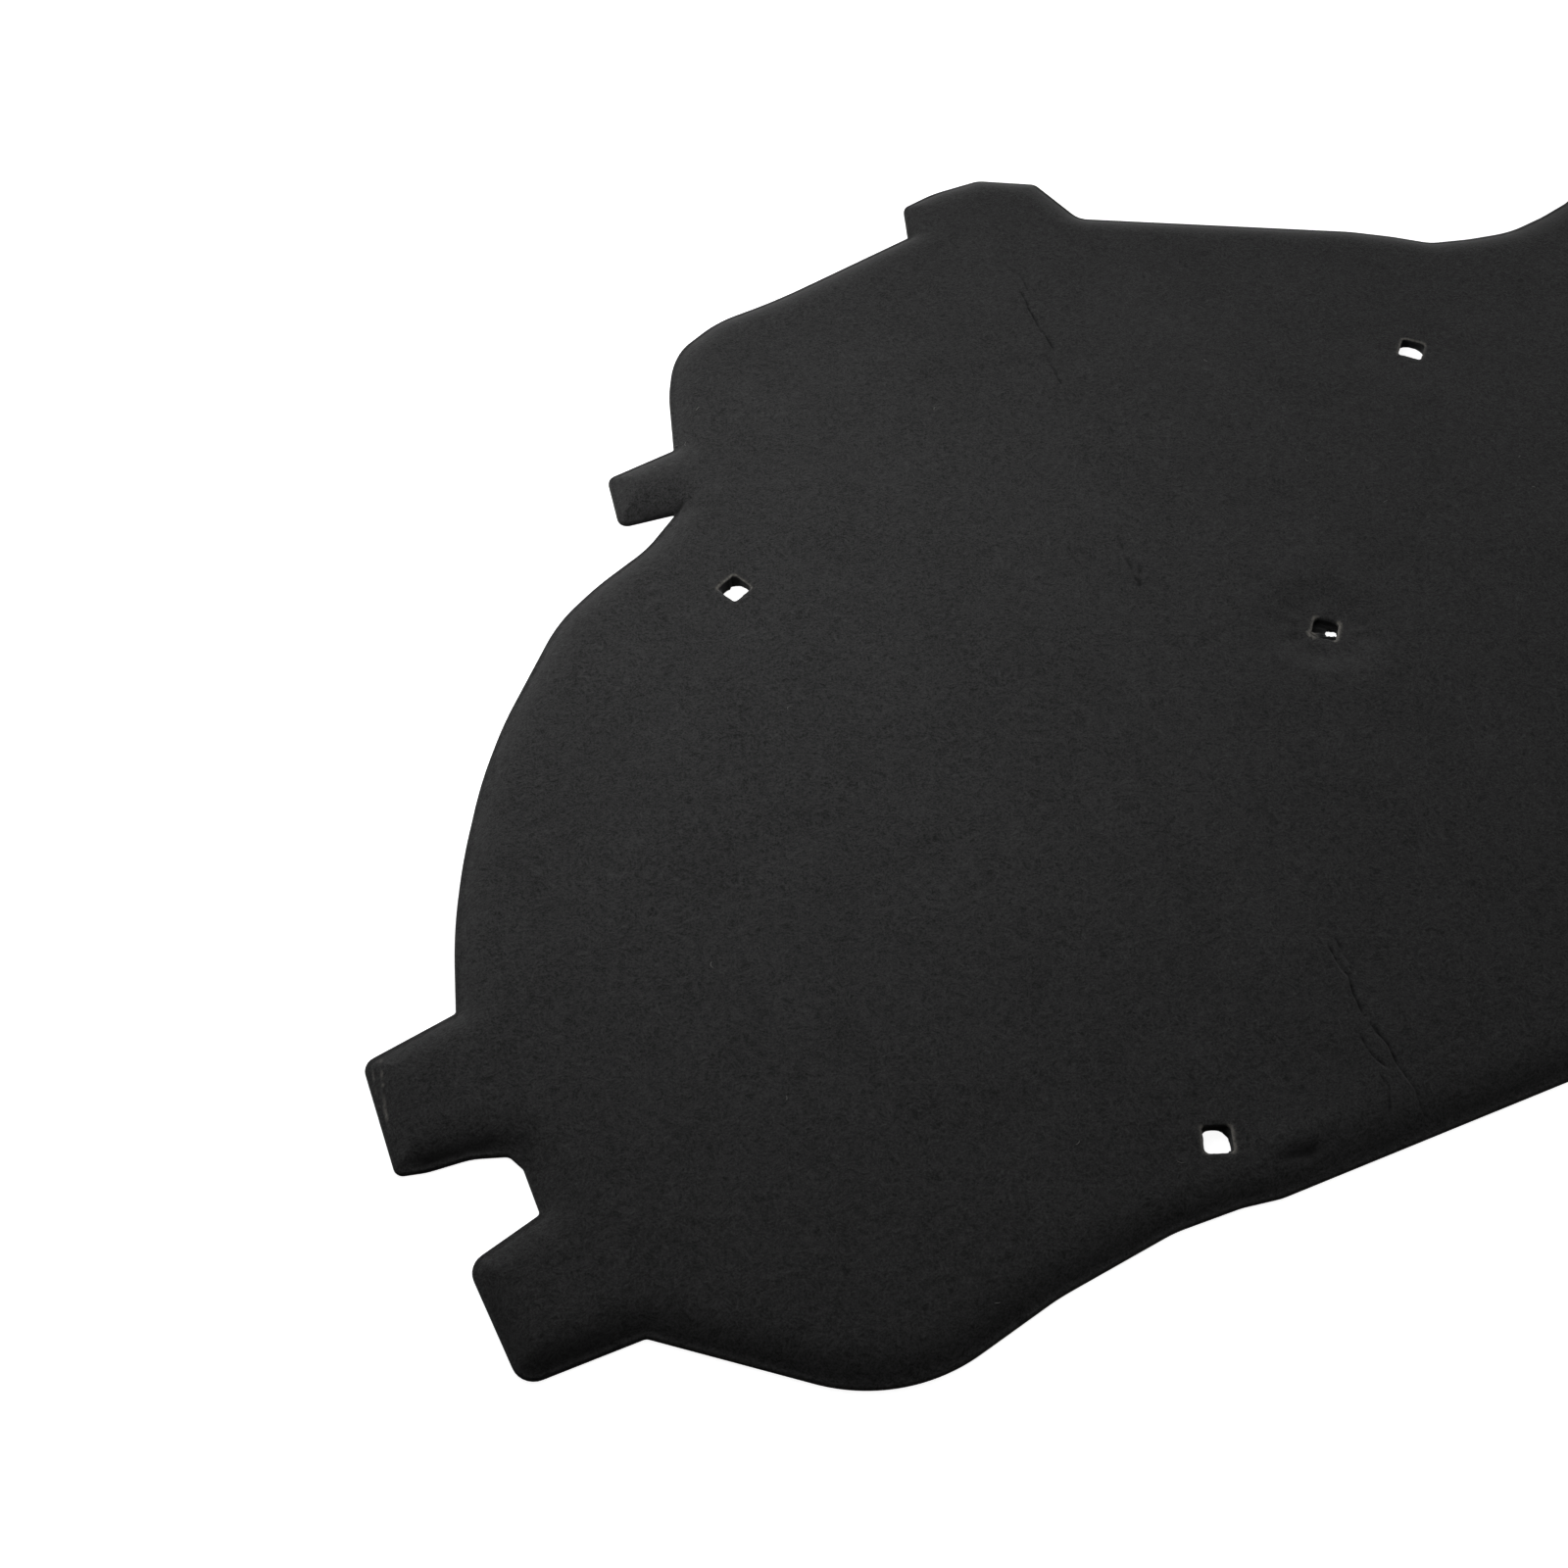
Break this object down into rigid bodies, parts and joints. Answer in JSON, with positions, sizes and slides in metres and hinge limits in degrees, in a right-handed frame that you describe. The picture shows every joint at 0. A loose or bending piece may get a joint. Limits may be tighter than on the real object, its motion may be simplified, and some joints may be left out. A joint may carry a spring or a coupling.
{
  "type": "hood insulation pad",
  "caption": "Thin moulded felt pad for the underside of a car hood, with a wide rear edge, a notched front edge, side tabs, a pressed rim and square clip holes.",
  "frame": {"origin": "Middle of the pad's plan, on its flat underside.", "axes": "+X across the car, +Y to the pad's front edge, the one with the notch, and +Z out of the outer face, up as it lies."},
  "size_m": [1.4078, 0.595, 0.009],
  "materials": {
    "felt": "matte near-black needled felt"
  },
  "bodies": {
    "root": {"insulation_pad": "felt"}
  },
  "joints": []
}
